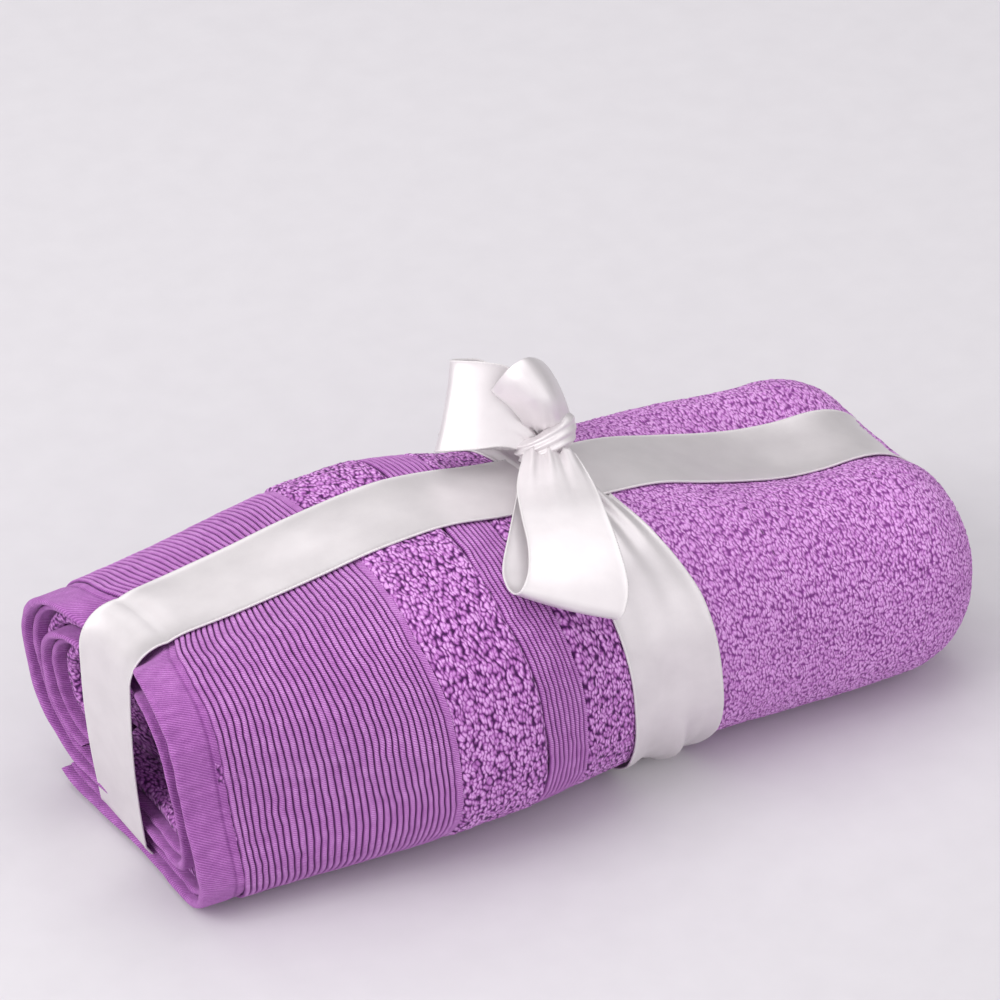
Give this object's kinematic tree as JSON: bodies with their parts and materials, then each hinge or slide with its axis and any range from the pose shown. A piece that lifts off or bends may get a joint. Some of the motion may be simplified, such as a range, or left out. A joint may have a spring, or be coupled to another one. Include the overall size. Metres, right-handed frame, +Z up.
{
  "type": "bath towel set",
  "caption": "Rolled terry bath towel wound round a folded hand towel and tied both ways with satin ribbon in a bow.",
  "frame": {"origin": "on the underside of the ribbon, where the set rests, below the middle of the roll", "axes": "+X along the roll from its hems to its folds, -Y towards the front, +Z up"},
  "size_m": [0.354, 0.1541, 0.1516],
  "materials": {
    "orchid_terry": "looped terry pile, matt",
    "orchid_flat_weave": "flat woven hem, matt",
    "silver_satin": "satin weave, soft sheen"
  },
  "bodies": {
    "towel_roll": {"bath_towel_outer_turn": "orchid_terry", "bath_towel_inner_turn": "orchid_terry", "bath_towel_front_hem": "orchid_flat_weave", "bath_towel_back_hem": "orchid_flat_weave", "bath_towel_middle_fold": "orchid_terry", "hand_towel_hem": "orchid_flat_weave", "hand_towel_roll": "orchid_terry", "long_ribbon_top_left": "silver_satin", "long_ribbon_top_right": "silver_satin", "long_ribbon_hem_end": "silver_satin", "long_ribbon_fold_end": "silver_satin", "long_ribbon_underside": "silver_satin", "girth_ribbon_front": "silver_satin", "girth_ribbon_back": "silver_satin", "girth_ribbon_underside": "silver_satin", "bow_knot": "silver_satin"},
    "front_loop": {"bow_front_loop": "silver_satin"},
    "rear_loop": {"bow_rear_loop": "silver_satin"},
    "short_tail": {"bow_short_tail": "silver_satin"},
    "rear_tail": {"bow_rear_tail": "silver_satin"}
  },
  "joints": [
    {"name": "front_loop_lift", "type": "hinge", "parent": "towel_roll", "child": "front_loop", "pos_m": [0.01056, -0.00464, 0.11949], "axis": [-0.8903, 0.4553, 0], "range_deg": [0, 60]},
    {"name": "rear_loop_swing", "type": "hinge", "parent": "towel_roll", "child": "rear_loop", "pos_m": [0.00832, 0.01428, 0.12062], "axis": [-0.0279, 0.4419, -0.8966], "range_deg": [0, 35]},
    {"name": "short_tail_bend", "type": "hinge", "parent": "towel_roll", "child": "short_tail", "pos_m": [0.0158, 0.01113, 0.12512], "axis": [0.8151, 0.5001, -0.2924], "range_deg": [0, 35]},
    {"name": "rear_tail_lift", "type": "hinge", "parent": "towel_roll", "child": "rear_tail", "pos_m": [0.01779, 0.0177, 0.1163], "axis": [0.9885, -0.1513, 0], "range_deg": [0, 25]}
  ]
}
